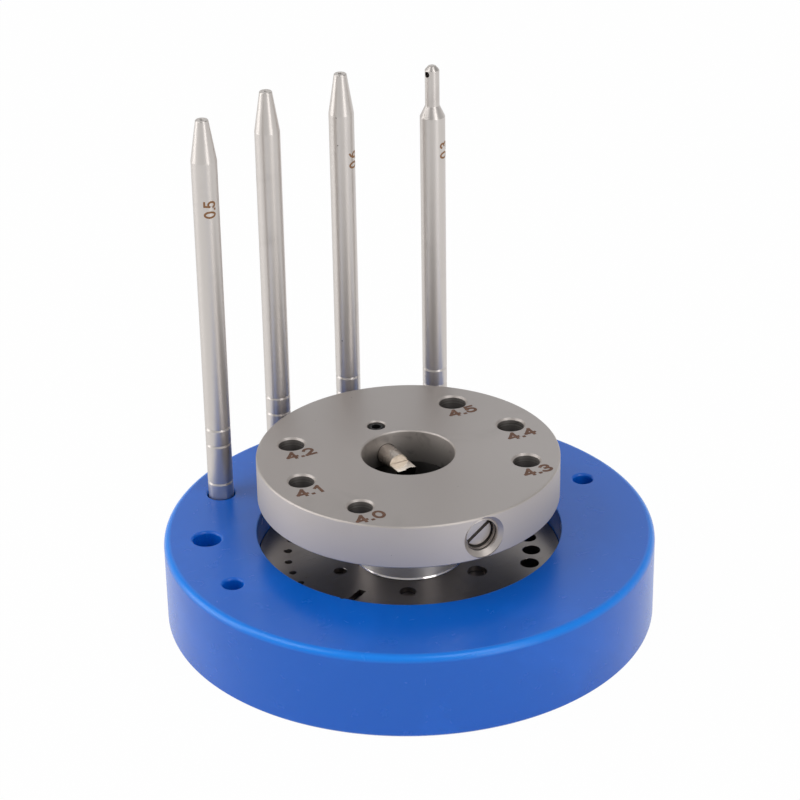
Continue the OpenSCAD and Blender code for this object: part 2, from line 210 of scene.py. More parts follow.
# Size marks, plain numbers; a digit's cell is one high
DIGIT_W = 0.8
MARK_THICKNESS = 0.02
MARK_PROUD = 0.012
MARK_LAYER = 0.002
DISC_MARK = {"height": 1.92, "width": 1.95, "pitch": 3.1, "stroke": 0.54}
DISC_MARK_SHIFT = (-2.6, -4.7)
PUNCH_MARK = {"height": 1.72, "width": 1.13, "pitch": 1.74, "stroke": 0.33}
PUNCH_LABELS = {1: ("0.5", 66.3, -98), 3: ("0.6", 66.5, -57), 4: ("0.3", 67.5, -57)}
LABEL_STRIP = 0.15

# Studio; each softbox has a turn, a rise, a distance, a width, a height and a glow
FLOOR_HALF = 3
FLOOR_THICKNESS = 0.01
LAMP_AIM_UP = 0.03
LAMPS = {"left_lamp": (-95, 16, 0.7, 0.45, 0.5, 2.0), "left_top_lamp": (-72, 48, 0.8, 0.5, 0.4, 2.0),
         "right_lamp": (40, 18, 0.7, 0.28, 0.45, 2.0), "right_top_lamp": (38, 56, 0.8, 0.4, 0.4, 2.4),
         "back_lamp": (180, 40, 0.8, 0.9, 0.45, 0.5)}


# Making solids

def millimetres(node):
    """Lowest and highest corner of a model node, in millimetres."""
    low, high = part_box(node)
    return low / MM, high / MM


def linked(name, data):
    """Object around a mesh, a lamp or a lens, in the scene."""
    made = bpy.data.objects.new(name, data)
    bpy.context.scene.collection.objects.link(made)
    return made


def new_piece(name, shape):
    """Turns a finished bmesh into an object that sits at the origin."""
    bmesh.ops.recalc_face_normals(shape, faces=shape.faces)
    data = bpy.data.meshes.new(name)
    shape.to_mesh(data)
    shape.free()
    return linked(name, data)


def at_angle(radius, degrees):
    """Place on a circle round Z."""
    angle = radians(degrees)
    return radius * cos(angle), radius * sin(angle)


def rounded(corners):
    """Outline through (radius, height) corners, with an arc at those that also have a fillet."""
    outline = []
    for i, (x, y, *fillet) in enumerate(corners):
        if not fillet:
            outline.append((x, y))
            continue
        fillet = fillet[0]
        here = Vector((x, y))
        before = (Vector(corners[i - 1][:2]) - here).normalized()
        after = (Vector(corners[(i + 1) % len(corners)][:2]) - here).normalized()
        half = before.angle(after) / 2
        centre = here + (before + after).normalized() * fillet / sin(half)
        start = here + before * fillet / tan(half) - centre
        end = here + after * fillet / tan(half) - centre
        first = atan2(start.y, start.x)
        turn = remainder(atan2(end.y, end.x) - first, 2 * pi)
        for step in range(FILLET_STEPS + 1):
            angle = first + turn * step / FILLET_STEPS
            outline.append((centre.x + fillet * cos(angle), centre.y + fillet * sin(angle)))
    return outline


def lathe(name, corners, around=AROUND_SMALL):
    """Solid of revolution about Z from a closed outline of corners, as in rounded()."""
    shape = bmesh.new()
    rings = []
    for radius, height in rounded(corners):
        count = around if radius > 1e-6 else 1
        turns = [2 * pi * i / count for i in range(count)]
        rings.append([shape.verts.new((radius * cos(t), radius * sin(t), height)) for t in turns])
    for lower, upper in zip(rings, rings[1:] + rings[:1]):
        for i in range(around):
            face = [lower[i % len(lower)], lower[(i + 1) % len(lower)],
                    upper[(i + 1) % len(upper)], upper[i % len(upper)]]
            distinct = list(dict.fromkeys(face))
            if len(distinct) > 2:
                shape.faces.new(distinct)
    return new_piece(name, shape)


def cutter(name, *corners, around=AROUND_HOLE):
    """Turned cutter through (radius, height) corners, closed along Z."""
    return lathe(name, [(0, corners[0][1]), *corners, (0, corners[-1][1])], around)


def prism(name, outline, bottom, top):
    """Straight solid from a closed (x, y) outline."""
    shape = bmesh.new()
    floor = [shape.verts.new((x, y, bottom)) for x, y in outline]
    roof = [shape.verts.new((x, y, top)) for x, y in outline]
    shape.faces.new(floor)
    shape.faces.new(roof)
    for i in range(len(outline)):
        j = (i + 1) % len(outline)
        shape.faces.new((floor[i], floor[j], roof[j], roof[i]))
    return new_piece(name, shape)


def block(name, low, high):
    """Straight-sided block between two corners."""
    outline = [(low[0], low[1]), (high[0], low[1]), (high[0], high[1]), (low[0], high[1])]
    return prism(name, outline, low[2], high[2])


def moved(piece, x=0, y=0, z=0):
    piece.data.transform(Matrix.Translation((x, y, z)))
    return piece


def turned(piece, degrees, axis="Z"):
    piece.data.transform(Matrix.Rotation(radians(degrees), 4, axis))
    return piece


def laid_along_y(piece, y):
    """Lays a piece that was made along Z along the clamp axis, with its foot at y."""
    return moved(turned(piece, -90, "X"), 0, y, AXIS_Z)


def bake(piece):
    """Applies a piece's modifiers."""
    graph = bpy.context.evaluated_depsgraph_get()
    made = bpy.data.meshes.new_from_object(piece.evaluated_get(graph),
                                           preserve_all_data_layers=True, depsgraph=graph)
    piece.modifiers.clear()
    piece.data = made
    return piece


def cut(solid, *tools):
    """Takes the tools out of the solid."""
    for tool in tools:
        hole = solid.modifiers.new("cut", "BOOLEAN")
        hole.operation = "DIFFERENCE"
        hole.solver = "EXACT"
        hole.object = tool
    bake(solid)
    for tool in tools:
        bpy.data.objects.remove(tool)
    return solid


def joined(piece, *others):
    """Puts the others' meshes into the piece's mesh."""
    shape = bmesh.new()
    for part in (piece, *others):
        shape.from_mesh(part.data)
    shape.to_mesh(piece.data)
    shape.free()
    for part in others:
        bpy.data.objects.remove(part)
    return piece


def finish_piece(piece, body, slot, *nodes, material=None):
    """Cleans a piece, brings it to metres, shades it, and hands it to its body."""
    shape = bmesh.new()
    shape.from_mesh(piece.data)
    bmesh.ops.remove_doubles(shape, verts=shape.verts, dist=WELD)
    bmesh.ops.dissolve_degenerate(shape, edges=shape.edges, dist=WELD)
    bmesh.ops.scale(shape, vec=(MM, MM, MM), verts=shape.verts)
    shape.to_mesh(piece.data)
    shape.free()
    piece.data.materials.clear()
    piece.data.materials.append(MATERIALS[material or slot])
    piece.data.shade_smooth()
    piece.data.set_sharp_from_angle(angle=radians(SHARP_ANGLE))
    weighted = piece.modifiers.new("normals", "WEIGHTED_NORMAL")
    weighted.keep_sharp = True
    bake(piece)
    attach(piece, body)
    if nodes:
        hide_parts(*nodes)


# Building node trees

def plug(value, socket):
    """Links a wire to a socket, or sets the socket to a plain value."""
    if isinstance(value, Wire):
        socket.id_data.links.new(value.socket, socket)
    else:
        socket.default_value = (*value, 1.0) if socket.type == "RGBA" else value


def add(tree, kind, *values, **named):
    """Adds a node, a shader node unless its kind says otherwise. Values go to its inputs by place, or
    by name if the name has a capital; names without one are the node's own settings."""
    made = tree.nodes.new(kind if "Node" in kind else "ShaderNode" + kind)
    inputs = dict(enumerate(values))
    for name, value in named.items():
        if name[0].isupper():
            inputs[name.replace("_", " ")] = value
        else:
            setattr(made, name, value)
    for place, value in inputs.items():
        plug(value, made.inputs[place])
    return made


def wires(made):
    """A node's outputs, by their names."""
    return {socket.name: Wire(socket) for socket in made.outputs}


def math_node(operation, backward=False):
    """Method that puts a Math node on a wire and other values."""
    def method(wire, *others):
        values = (*others, wire) if backward else (wire, *others)
        return wire.to("Math", *values, operation=operation)
    return method


class Wire:
    """Output of a node; sums, products and the like of wires are nodes of the same tree."""

    __add__ = math_node("ADD")
    __sub__ = math_node("SUBTRACT")
    __rsub__ = math_node("SUBTRACT", backward=True)
    __mul__ = math_node("MULTIPLY")
    __truediv__ = math_node("DIVIDE")
    __rtruediv__ = math_node("DIVIDE", backward=True)
    __lt__ = math_node("LESS_THAN")
    __gt__ = math_node("GREATER_THAN")
    __abs__ = math_node("ABSOLUTE")
    times_plus = math_node("MULTIPLY_ADD")
    least = math_node("MINIMUM")
    most = math_node("MAXIMUM")
    root = math_node("SQRT")
    radians = math_node("RADIANS")
    sine = math_node("SINE")
    cosine = math_node("COSINE")

    def __init__(self, socket):
        self.socket = socket
        self.tree = socket.id_data

    def to(self, kind, *values, out=0, **named):
        """Output of a new node: the first, unless another is named."""
        return Wire(add(self.tree, kind, *values, **named).outputs[out])

    def clamp(self):
        """Holds the result of this Math node between 0 and 1."""
        self.socket.node.use_clamp = True
        return self

    def parts(self):
        """The three parts of this vector."""
        return list(wires(add(self.tree, "SeparateXYZ", self)).values())

    def ramp(self, low, high, first=0.0, last=1.0, **settings):
        """Goes from the first value to the last while this one goes from low to high."""
        return self.to("MapRange", self, low, high, first, last, **settings)

    def span(self, *ends):
        """Goes with this mask from one value to another, or from 0 if there is only one."""
        return self.ramp(0.0, 1.0, *(0.0, *ends)[-2:])

    def mix(self, first, second, data_type="RGBA", place=2):
        """Goes from the first colour, or vector, to the second with this mask."""
        made = add(self.tree, "Mix", self, data_type=data_type)
        plug(first, made.inputs[2 * place + 2])
        plug(second, made.inputs[2 * place + 3])
        return Wire(made.outputs[place])

    def in_steps(self, size):
        """This coordinate in steps of a size in millimetres."""
        return self.to("VectorMath", self, Scale=1 / MM / size, operation="SCALE")

    def noise(self, detail, **named):
        """Cloudy noise on this coordinate."""
        return self.to("TexNoise", self, Scale=1.0, Detail=detail, **named)

    def bump(self, depth, **under):
        """Normal from this height, whose full range is a depth in millimetres."""
        return self.to("Bump", Height=self, Distance=depth * MM, **under)


def xyz(*parts):
    """Vector of three parts, of which at least one is a wire."""
    return next(part for part in parts if isinstance(part, Wire)).to("CombineXYZ", *parts)


GROUPS = {}


def new_group(build, outputs, **inputs):
    """Node group around a function of its inputs, which start with their defaults; an input that has
    none is of the kind that its name says."""
    kind, end = ("Geometry", "Geometry") if outputs == "Geometry" else ("Shader", "Float")
    tree = bpy.data.node_groups.new(build.__name__.replace("_", " ").title(), kind + "NodeTree")
    GROUPS[build] = tree
    labels = [label.replace("_", " ") for label in inputs]
    for label, value in zip(labels, inputs.values()):
        kind = {float: "Float", int: "Int"}.get(type(value), label)
        made = tree.interface.new_socket(label, in_out="INPUT", socket_type="NodeSocket" + kind)
        if value is not None:
            made.default_value = value
    for label in outputs.split():
        tree.interface.new_socket(label, in_out="OUTPUT", socket_type="NodeSocket" + end)
    given = wires(add(tree, "NodeGroupInput"))
    result = add(tree, "NodeGroupOutput")
    made = build(*(given[label] for label in labels))
    for label, wire in zip(outputs.split(), made if isinstance(made, tuple) else (made,)):
        plug(wire, result.inputs[label])


def run_tree(piece, build, **values):
    """Applies a geometry tree, with values by the names of its inputs."""
    tree = GROUPS[build]
    modifier = piece.modifiers.new(tree.name, "NODES")
    modifier.node_group = tree
    for item in tree.interface.items_tree:
        if item.in_out == "INPUT" and item.name != "Geometry":
            value = values.get(item.name.replace(" ", "_"), item.default_value)
            modifier[item.identifier] = float(value) if item.socket_type == "NodeSocketFloat" else value
    return bake(piece)


# Geometry trees

def painted(shape, material):
    """Makes instances real, in one material."""
    real = shape.to("GeometryNodeRealizeInstances", shape)
    return real.to("GeometryNodeSetMaterial", real, Material=material)


def ring_of_cutters(piece, count, ring_radius, first_angle, step, step_growth, first_size,
                    size_growth, material):
    """Repeats the piece round a circle; its step and size may grow."""
    index = count.to("GeometryNodeInputIndex")
    pairs = index * (index - 1.0) * 0.5
    turn = (index.times_plus(step, first_angle) + pairs * step_growth).radians()
    size = index.times_plus(size_growth, first_size)
    points = count.to("GeometryNodePoints", Count=count,
                      Position=xyz(turn.cosine() * ring_radius, turn.sine() * ring_radius))
    copies = points.to("GeometryNodeInstanceOnPoints", Points=points, Instance=piece,
                       Rotation=xyz(0.0, 0.0, turn), Scale=xyz(size, size, 1.0))
    return painted(copies, material)


def thread_turns(core, radius, pitch, turns, tooth, facing, start_height, start_angle, fade, material):
    """Winds a right-handed screw thread round Z and joins it to the piece."""
    coil = turns.to("GeometryNodeCurveSpiral", Resolution=48, Rotations=turns, Start_Radius=radius,
                    End_Radius=radius, Height=pitch * turns)
    upright = coil.to("GeometryNodeSetCurveNormal", coil, mode="Z_UP")
    outline = tooth.to("GeometryNodeCurvePrimitiveCircle", Resolution=3, Radius=tooth)
    outline = outline.to("GeometryNodeTransform", outline, Rotation=xyz(0.0, 0.0, facing.radians()))
    along = core.to("GeometryNodeSplineParameter")
    swell = along.least(1.0 - along) * turns / fade
    coiled = upright.to("GeometryNodeCurveToMesh", Curve=upright, Profile_Curve=outline,
                        Scale=swell.least(1.0).most(0.05), Fill_Caps=True)
    placed = coiled.to("GeometryNodeTransform", coiled, Translation=xyz(0.0, 0.0, start_height),
                       Rotation=xyz(0.0, 0.0, start_angle.radians()))
    whole = placed.to("GeometryNodeJoinGeometry", placed)
    plug(core, whole.socket.node.inputs[0])
    return painted(whole, material)


new_group(ring_of_cutters, "Geometry", Geometry=None, Count=1, Ring_Radius=10.0, First_Angle=0.0,
          Step=30.0, Step_Growth=0.0, First_Size=1.0, Size_Growth=0.0, Material=None)
new_group(thread_turns, "Geometry", Geometry=None, Radius=2.0, Pitch=0.8, Turns=4.0, Tooth=0.3,
          Facing=0.0, Start_Height=0.0, Start_Angle=0.0, Fade=0.25, Material=None)


# Shader groups; their sizes are in millimetres on the object's own coordinates

def radius_and_height(spot, size=1.0):
    """Distance from Z, and height, in steps of a size in millimetres."""
    x, y, height = spot.in_steps(size).parts()
    return (x * x + y * y).root(), height


def fine_grain(spot, size):
    """Fine all-over grain."""
    return spot.in_steps(size).noise(3.0, Roughness=0.6)


def tool_lines(spot, spacing):
    """Tool lines of a lathe: rings on faced surfaces, bands along Z on turned ones."""
    return tuple(place.to("TexNoise", W=place, Scale=1.0, Detail=2.0, noise_dimensions="1D")
                 for place in radius_and_height(spot, spacing))


def handling_marks(spot, patch, amount):
    """Cloudy marks left by fingers and cloths."""
    low = 0.75 - amount * 0.45
    cloud = spot.in_steps(patch).noise(5.0, Roughness=0.55, Distortion=0.6)
    return cloud.ramp(low, low + 0.25, interpolation_type="SMOOTHSTEP")


def hairlines(spot, length, amount):
    """Short thin scratches in two directions."""
    low = 0.78 - amount * 0.12
    stretched = [spot.to("Mapping", spot.in_steps(length), Location=(shift, 0.0, 0.0),
                         Rotation=(0.0, 0.0, radians(degrees)), Scale=(1.0, 34.0, 34.0))
                 for degrees, shift in ((24, 3.0), (-51, 11.0))]
    first, second = [along.noise(1.0).ramp(low, low + 0.05) for along in stretched]
    return first.most(second)


def specks(spot, spacing, dot, share):
    """Scattered tiny dots, such as lint and pits."""
    cells = wires(add(spot.tree, "TexVoronoi", spot.in_steps(spacing), Scale=1.0))
    chance = spot.to("SeparateColor", cells["Color"])
    return (cells["Distance"] < dot * chance) * (chance < share)


def edge_wear_and_sheen(reach, amount):
    """Edges: where handling rubs them, and where a highlight is painted along them."""
    soft = reach.to("Bevel", reach * MM, samples=4)
    facet = reach.to("NewGeometry", out="Normal")
    agree = soft.to("VectorMath", soft, facet, operation="DOT_PRODUCT", out="Value")
    return agree.ramp(0.995, 0.85) * amount


def recesses(reach, amount):
    """Narrow slots, thread roots and small holes, darkened by ambient occlusion: painted shade."""
    shade = reach.to("AmbientOcclusion", Distance=reach * MM, samples=4, only_local=True, out="AO")
    return shade.ramp(0.8, 0.25) * amount


def rounded_rim(spot, rim_radius, top_height, fillet):
    """Band round the rounded rim of a turned piece, strongest halfway round it, where a sheen is painted.
    """
    out, up = [((place - (edge - fillet)) / fillet).clamp()
               for place, edge in zip(radius_and_height(spot), (rim_radius, top_height))]
    return (out * up * 2.0).clamp()


new_group(fine_grain, "Height", Vector=None, Size=0.1)
new_group(tool_lines, "Rings Bands", Vector=None, Spacing=0.1)
new_group(handling_marks, "Mask", Vector=None, Patch=6.0, Amount=0.5)
new_group(hairlines, "Mask", Vector=None, Length=4.0, Amount=0.3)
new_group(specks, "Mask", Vector=None, Spacing=3.0, Dot=0.06, Share=0.4)
new_group(edge_wear_and_sheen, "Mask", Reach=0.15, Amount=1.0)
new_group(recesses, "Mask", Reach=0.5, Amount=1.0)
new_group(rounded_rim, "Mask", Vector=None, Rim_Radius=40.0, Top_Height=14.0, Round=1.2)


def effect(spot, build, **values):
    """Outputs of one of the shader groups, placed in a material with its own values."""
    made = add(spot.tree, "Group", node_tree=GROUPS[build], **values)
    if "Vector" in made.inputs:
        plug(spot, made.inputs["Vector"])
    return wires(made)


def mask(spot, build, **values):
    return effect(spot, build, **values)["Mask"]


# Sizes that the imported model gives

BASE_HIGH = millimetres("base")[1]
PLATE_LOW, PLATE_HIGH = millimetres("die_plate")
HUB_LOW, HUB_HIGH = millimetres("hub_tube")
DISC_LOW, DISC_HIGH = millimetres("clamp_disc")
SCREW_LOW, SCREW_HIGH = millimetres("clamp_screw")
PLATE_TOP = PLATE_HIGH.z - BOSS_H
AXIS_Z = (DISC_LOW.z + DISC_HIGH.z) / 2
TOOL_CIRCLE_R = BASE_HIGH.x - TOOL_EDGE
GUIDES = [(mount["pos_m"][0] / MM, mount["pos_m"][1] / MM, mount["dims"]["r_mm"])
          for mount in frame["record"]["mounts"] if mount["name"].startswith("guide_hole")]
GUIDE_REACH_R = GUIDE_CHAMFER + max(hypot(x, y) + radius for x, y, radius in GUIDES)


# Materials

MATERIALS = {}


def new_material(name):
    """Adds a material by its name, and returns its shader and the object's own coordinates."""
    MATERIALS[name] = material = bpy.data.materials.new(name)
    material.use_nodes = True
    tree = material.node_tree
    return tree.nodes["Principled BSDF"], wires(add(tree, "TexCoord"))["Object"]


def feed(shader, **values):
    """Links or sets the shader's sockets."""
    for name, value in values.items():
        plug(value, shader.inputs[name.replace("_", " ")])


def wall_mask(spot):
    """Upright walls of a piece, against its flat faces."""
    facing = spot.to("NewGeometry", out="True Normal")
    return abs(facing.parts()[2]) < 0.8


def across_lines(spot, walls):
    """Direction across the tool lines: along the axis, or outward on faces turned flat."""
    upright = spot.to("CombineXYZ", 0.0, 0.0, 1.0)
    if not walls:
        return upright
    flat = spot.to("VectorMath", spot, (1.0, 1.0, 0.0), operation="MULTIPLY")
    across = walls.mix(flat, upright, "VECTOR", 1)
    return across.to("VectorMath", across, operation="NORMALIZE")


def steel(name, tone, shade, rough, lines="Bands", spacing=0.06, line_depth=0.0008, streak=0.0,
          lit_wall_tone=None, patch=7.0, shade_reach=0.5, finish=None, polish=None):
    """Machined steel: tool lines, cloudy handling marks, hairlines and pits; edges lighter, partly from
    wear and partly as a painted highlight; painted shade in recesses; upright walls, if given their own
    tone, lighter as painted light.
    """
    shader, spot = new_material(name)
    marked = mask(spot, handling_marks, Patch=patch, Amount=0.45)
    scratched = mask(spot, hairlines, Length=3.5, Amount=0.35)
    pitted = mask(spot, specks, Spacing=3.1, Dot=0.09, Share=0.5)
    rubbed_and_sheen = mask(spot, edge_wear_and_sheen, Reach=0.12)
    # Painted shade in slots, holes and thread roots, from ambient occlusion
    hidden = mask(spot, recesses, Reach=shade_reach, Amount=0.9)
    grain = effect(spot, fine_grain, Size=0.09)["Height"]
    tooled = effect(spot, tool_lines, Spacing=spacing)
    lined, walls = tooled[lines], None
    colour = marked.span(0.6).mix(tone, shade)
    roughness = marked.span(*rough) + grain.span(-0.04, 0.04)
    if lit_wall_tone:
        walls = wall_mask(spot)
        lined = (1.0 - walls) * lined + walls * tooled["Bands"].span(4.0)
        # Upright walls get a lighter tone than flat faces: painted light
        colour = walls.span(0.85).mix(colour, lit_wall_tone)
        roughness = roughness + walls.span(0.12)
    # Edges painted brighter: partly wear, partly a painted highlight
    colour = rubbed_and_sheen.span(0.7).mix(colour, [min(1.0, 1.25 * value) for value in tone])
    # Pits darken the steel; the recess mask darkens it further as painted shade
    colour = pitted.span(0.8).most(hidden).mix(colour, [0.15 * value for value in tone])
    if finish:
        colour = finish(spot, colour)
    roughness = roughness - scratched.span(0.08) - rubbed_and_sheen.span(0.18)
    if polish:
        roughness = roughness - polish(spot).span(0.32)
    normal = grain.bump(0.0012, Normal=lined.bump(line_depth))
    feed(shader, Base_Color=colour, Metallic=1.0, Roughness=roughness, Anisotropic=streak,
         Normal=(scratched + pitted).bump(-0.004, Normal=normal))
    if streak:
        feed(shader, Tangent=across_lines(spot, walls))


def ground_blade(spot, colour):
    """Ground, bright blade at a jaw's tip, painted near black under its broken edge."""
    _, along, height = spot.in_steps(1.0).parts()
    out = abs(along)
    colour = (out < BLADE_REACH).span(0.85).mix(colour, (0.92, 0.84, 0.75))
    darkened_tip = (out < DARK_TIP_REACH) * (height < AXIS_Z + BLADE_RISE - DARK_TIP_DROP)
    return darkened_tip.span(0.95).mix(colour, (0.02, 0.015, 0.012))


def shaded_bores(spot, colour):
    """Bore walls of the disc, ringed by the drill and stained, and painted darker with depth as shade."""
    radius, height = radius_and_height(spot)
    depth_shade = height.ramp(DISC_HIGH.z - GUIDE_CHAMFER, DISC_LOW.z, 0.0, 0.6)
    stained = mask(spot, handling_marks, Patch=2.5, Amount=0.5)
    ringed = effect(spot, tool_lines, Spacing=0.22)["Bands"]
    narrow = (radius > BORE_D / 2 + 1) * ringed.span(0.15, 0.75)
    # Painted shade that deepens down the bores, with the drill rings and stains
    dark = (depth_shade + narrow + stained.span(0.3)).clamp() * (height < DISC_HIGH.z - GUIDE_CHAMFER)
    inside = wall_mask(spot) * (radius < GUIDE_REACH_R)
    return (inside * dark).mix(colour, (0.055, 0.054, 0.056))


def polished_foot(spot):
    """The tube's flared foot, which the plate keeps bright."""
    return radius_and_height(spot)[1] < HUB_LOW.z + HUB_FOOT_H


def black_bore(spot, colour):
    """Painted shade: black inside the bore, down to the plate."""
    inside = radius_and_height(spot)[0] < BORE_D / 2 + 0.3
    return inside.span(0.95).mix(colour, (0.02, 0.019, 0.018))


def blue_plastic():
    """Turned, polished, slightly translucent plastic, with lint and soft scuffs, a painted sheen along
    its rounded rim, and edges lighter, partly from wear and partly as a painted highlight.
    """
    shader, spot = new_material("blue_plastic")
    cloudy = mask(spot, handling_marks, Patch=14.0, Amount=0.6)
    scuffed = mask(spot, handling_marks, Patch=3.0, Amount=0.35)
    lint = mask(spot, specks, Spacing=2.3, Dot=0.08, Share=0.25)
    scratched = mask(spot, hairlines, Length=5.0, Amount=0.0)
    rubbed_and_sheen = mask(spot, edge_wear_and_sheen, Reach=0.5, Amount=0.7)
    rim = mask(spot, rounded_rim, Rim_Radius=BASE_HIGH.x, Top_Height=BASE_HIGH.z, Round=BASE_ROUND)
    lined = effect(spot, tool_lines, Spacing=0.25)
    colour = cloudy.mix((0.002, 0.133, 0.65), (0.004, 0.146, 0.70))
    # Lighter edges and hole mouths: partly wear, partly a painted highlight
    colour = rubbed_and_sheen.span(0.6).mix(colour, (0.006, 0.24, 0.90))
    # Painted sheen: a bright azure band along the base's rounded rim
    colour = rim.span(0.9).mix(colour, (0.004, 0.28, 1.0))
    colour = lint.span(0.4).mix(colour, (0.15, 0.35, 0.85))
    roughness = scuffed.span(0.26, 0.34) + scratched.span(0.06) - rubbed_and_sheen.span(0.2)
    turned_lines = (lined["Rings"] + lined["Bands"]).bump(0.0012)
    feed(shader, Base_Color=colour, Roughness=roughness, IOR=1.47,
         Normal=(scratched + lint).bump(0.001, Normal=turned_lines),
         Subsurface_Weight=0.15, Subsurface_Radius=(0.3, 0.7, 1.0), Subsurface_Scale=1.2 * MM)


def black_steel():
    """Black oxide on a small screw, worn grey on its edges."""
    shader, spot = new_material("black_steel")
    cloudy = mask(spot, handling_marks, Patch=0.8, Amount=0.5)
    grain = effect(spot, fine_grain, Size=0.06)["Height"]
    colour = cloudy.mix((0.012, 0.012, 0.014), (0.03, 0.028, 0.028))
    colour = mask(spot, edge_wear_and_sheen, Reach=0.1).span(0.6).mix(colour, (0.16, 0.15, 0.15))
    feed(shader, Base_Color=colour, Metallic=0.6, Roughness=grain.span(0.34, 0.52),
         Normal=grain.bump(0.004))


def etched(name, dark, light):
    """Slightly uneven mark burned into the steel."""
    shader, spot = new_material(name)
    uneven = mask(spot, handling_marks, Patch=0.6, Amount=0.6)
    grain = effect(spot, fine_grain, Size=0.05)["Height"]
    feed(shader, Base_Color=uneven.mix(dark, light), Metallic=0.3, Roughness=grain.span(0.45, 0.7),
         Normal=grain.bump(0.003))


blue_plastic()
steel("plate_steel", (0.25, 0.23, 0.22), (0.195, 0.18, 0.172), (0.32, 0.42), lines="Rings",
      spacing=0.08, patch=9.0, shade_reach=0.7, finish=black_bore)
steel("screw_steel", (0.56, 0.52, 0.49), (0.45, 0.41, 0.385), (0.46, 0.56), patch=2.0, shade_reach=0.7)
steel("tube_steel", (0.95, 0.91, 0.88), (0.85, 0.81, 0.78), (0.50, 0.56), streak=0.85, spacing=0.07,
      finish=black_bore, polish=polished_foot)
# The disc's walls are painted lighter than its faced top
steel("disc_steel", (0.445, 0.415, 0.402), (0.405, 0.378, 0.364), (0.42, 0.48), lines="Rings",
      spacing=0.05, line_depth=0.0005, patch=11.0, streak=0.45, shade_reach=0.25,
      lit_wall_tone=(0.555, 0.51, 0.478), finish=shaded_bores)
steel("jaw_steel", (0.46, 0.42, 0.38), (0.38, 0.34, 0.31), (0.26, 0.34), patch=2.0,
      finish=ground_blade)
steel("punch_steel", (0.60, 0.563, 0.535), (0.51, 0.475, 0.45), (0.38, 0.44), streak=0.6,
      spacing=0.05, patch=8.0, shade_reach=0.7)
black_steel()
etched("etched_brown", (0.13, 0.06, 0.035), (0.22, 0.115, 0.075))
etched("etched_tan", (0.27, 0.13, 0.055), (0.40, 0.22, 0.11))


# Base

def soft_cutter(diameter):
    """Blind hole whose mouth, at z = 0, is softly rounded."""
    radius, flare = diameter / 2, MOUTH_ROUND
    mouth = [(radius + flare * (1 - cos(a)), -flare * (1 - sin(a)))
             for a in [pi / 2 * i / FILLET_STEPS for i in range(FILLET_STEPS + 1)]]
    return cutter("tool_hole", (radius, -TOOL_HOLE_DEPTH), *mouth, (radius + flare, CUT_PAST))


def tool_cutters():
    """A cutter for each tool hole; the first and the last are small."""
    small = (0, len(TOOL_TURNS) - 1)
    return [moved(soft_cutter(SMALL_HOLE_D if i in small else TOOL_HOLE_D),
                  *at_angle(TOOL_CIRCLE_R + out, TOOL_FIRST_ANGLE + i * TOOL_STEP + turn), BASE_HIGH.z)
            for i, (turn, out) in enumerate(zip(TOOL_TURNS, TOOL_OUTS))]


def ring_of(tool, material, ring):
    """Repeats a cutter round a ring."""
    return run_tree(tool, ring_of_cutters, Material=MATERIALS[material], **ring)


def plate_screw_holes():
    """Ring of countersunk clearance holes through the base's floor."""
    bore, head = SCREW_D / 2 + FIT, SCREW_HEAD_D / 2 + FIT
    hole = cutter("screw_holes", (head, -CUT_PAST), (head, SCREW_SINK),
                  (bore, SCREW_SINK + head - bore), (bore, PLATE_LOW.z + CUT_PAST))
    return ring_of(hole, "blue_plastic", SCREW_RING)


def make_base():
    radius, top, floor = BASE_HIGH.x, BASE_HIGH.z, PLATE_LOW.z
    recess = PLATE_HIGH.x + FIT
    outer, inner, bottom = DIE_CIRCLE_R + GROOVE_W / 2, DIE_CIRCLE_R - GROOVE_W / 2, floor - GROOVE_DEPTH
    solid = lathe("blue_base", [
        (0, 0), (radius - FOOT_CHAMFER, 0, 0.1), (radius, FOOT_CHAMFER, 0.2),
        (radius, top, BASE_ROUND), (recess, top, RECESS_EDGE), (recess, floor), (outer, floor),
        (outer, bottom, 0.2), (inner, bottom, 0.2), (inner, floor), (0, floor)], AROUND_LARGE)
    nick = cutter("nick", (NICK_SIZE, -CUT_PAST), (NICK_SIZE, CUT_PAST), around=24)
    moved(nick, *at_angle(recess, NICK_ANGLE), top)
    cut(solid, *tool_cutters(), plate_screw_holes(), nick)
    finish_piece(solid, "base", "blue_plastic", "base")


# Die plate

def broken_edge_cutter(name, *foot):
    """Cutter one millimetre wide that breaks the hole's edge in the plate's top."""
    mouth = 0.5 + HOLE_EDGE_SHARE
    return lathe(name, [*foot, (0.5, PLATE_TOP - HOLE_EDGE), (mouth, PLATE_TOP),
                        (mouth, PLATE_TOP + CUT_PAST), (0, PLATE_TOP + CUT_PAST)], AROUND_HOLE)


